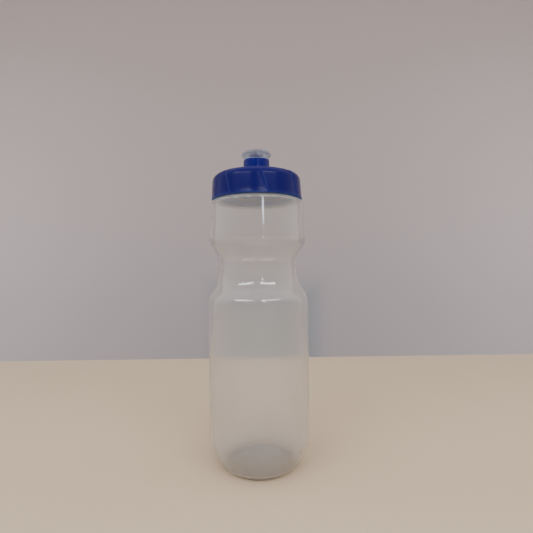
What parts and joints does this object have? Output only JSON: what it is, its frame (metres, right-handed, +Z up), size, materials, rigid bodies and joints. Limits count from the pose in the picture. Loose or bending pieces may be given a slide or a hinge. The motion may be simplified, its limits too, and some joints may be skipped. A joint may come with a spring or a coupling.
{
  "type": "sports squeeze bottle",
  "caption": "Translucent squeeze bottle with a grip waist, a blue screw cap and a push-pull drinking spout.",
  "frame": {"origin": "middle of the foot, on the surface that the bottle stands on", "axes": "+Z up along the bottle's axis; -Y is the side that the picture shows, +X to its right"},
  "size_m": [0.0738, 0.0738, 0.2275],
  "materials": {
    "bottle": "blow-moulded milky translucent LDPE, satin gloss",
    "cap": "injection-moulded blue polypropylene, semi-gloss",
    "seal": "clear soft silicone",
    "spout": "injection-moulded blue polypropylene, semi-gloss",
    "mouthpiece": "soft translucent elastomer, satin"
  },
  "bodies": {
    "bottle": {"bottle_body": "bottle"},
    "seal": {"cap_seal": "seal"},
    "cap": {"screw_cap": "cap"},
    "spout": {"spout_barrel": "spout", "mouthpiece": "mouthpiece"}
  },
  "joints": [
    {"name": "cap_lift", "type": "slide", "parent": "bottle", "child": "seal", "axis": [0, 0, 1], "range_m": [0, 0.00625]},
    {"name": "cap_turn", "type": "hinge", "parent": "seal", "child": "cap", "pos_m": [0, 0, 0.1924], "axis": [0, 0, 1], "range_deg": [0, 450]},
    {"name": "spout_pull", "type": "slide", "parent": "cap", "child": "spout", "axis": [0, 0, 1], "range_m": [0, 0.005]}
  ],
  "couplings": [
    {"joint": "cap_lift", "follows": "cap_turn", "m_per_rad": 0.00079577}
  ]
}
